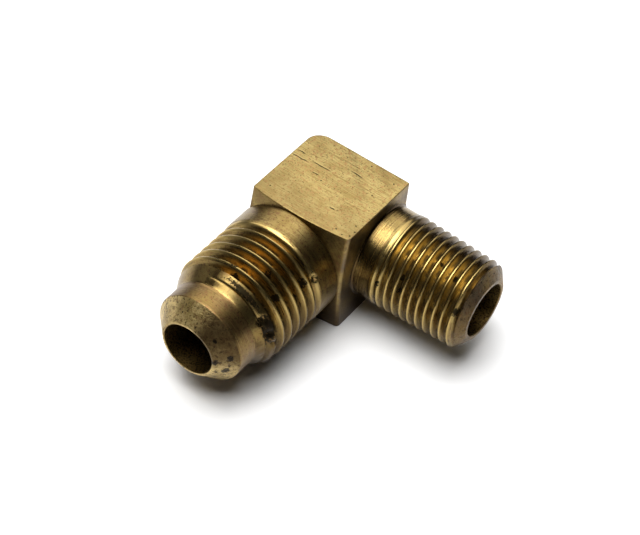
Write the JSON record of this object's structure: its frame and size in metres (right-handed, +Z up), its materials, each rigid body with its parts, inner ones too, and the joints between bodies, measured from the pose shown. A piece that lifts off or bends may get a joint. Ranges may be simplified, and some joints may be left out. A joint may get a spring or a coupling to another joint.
{
  "type": "flare elbow fitting",
  "caption": "Right-angle brass elbow with a threaded 45 degree flare end and a tapered pipe-thread end, joining flared copper tube to a tapped port.",
  "frame": {"origin": "on the block's flat underside, straight below the point where the axes of the two arms cross", "axes": "+X along the pipe-thread arm towards its open end, -Y along the flare arm towards its nose, +Z up through the block"},
  "size_m": [0.0259, 0.0285, 0.0132],
  "materials": {
    "brass": "machined and sawn yellow brass, lightly tarnished, with brushed flats, turned collars and grime in the thread roots"
  },
  "bodies": {
    "root": {"elbow_body": "brass"}
  },
  "joints": []
}
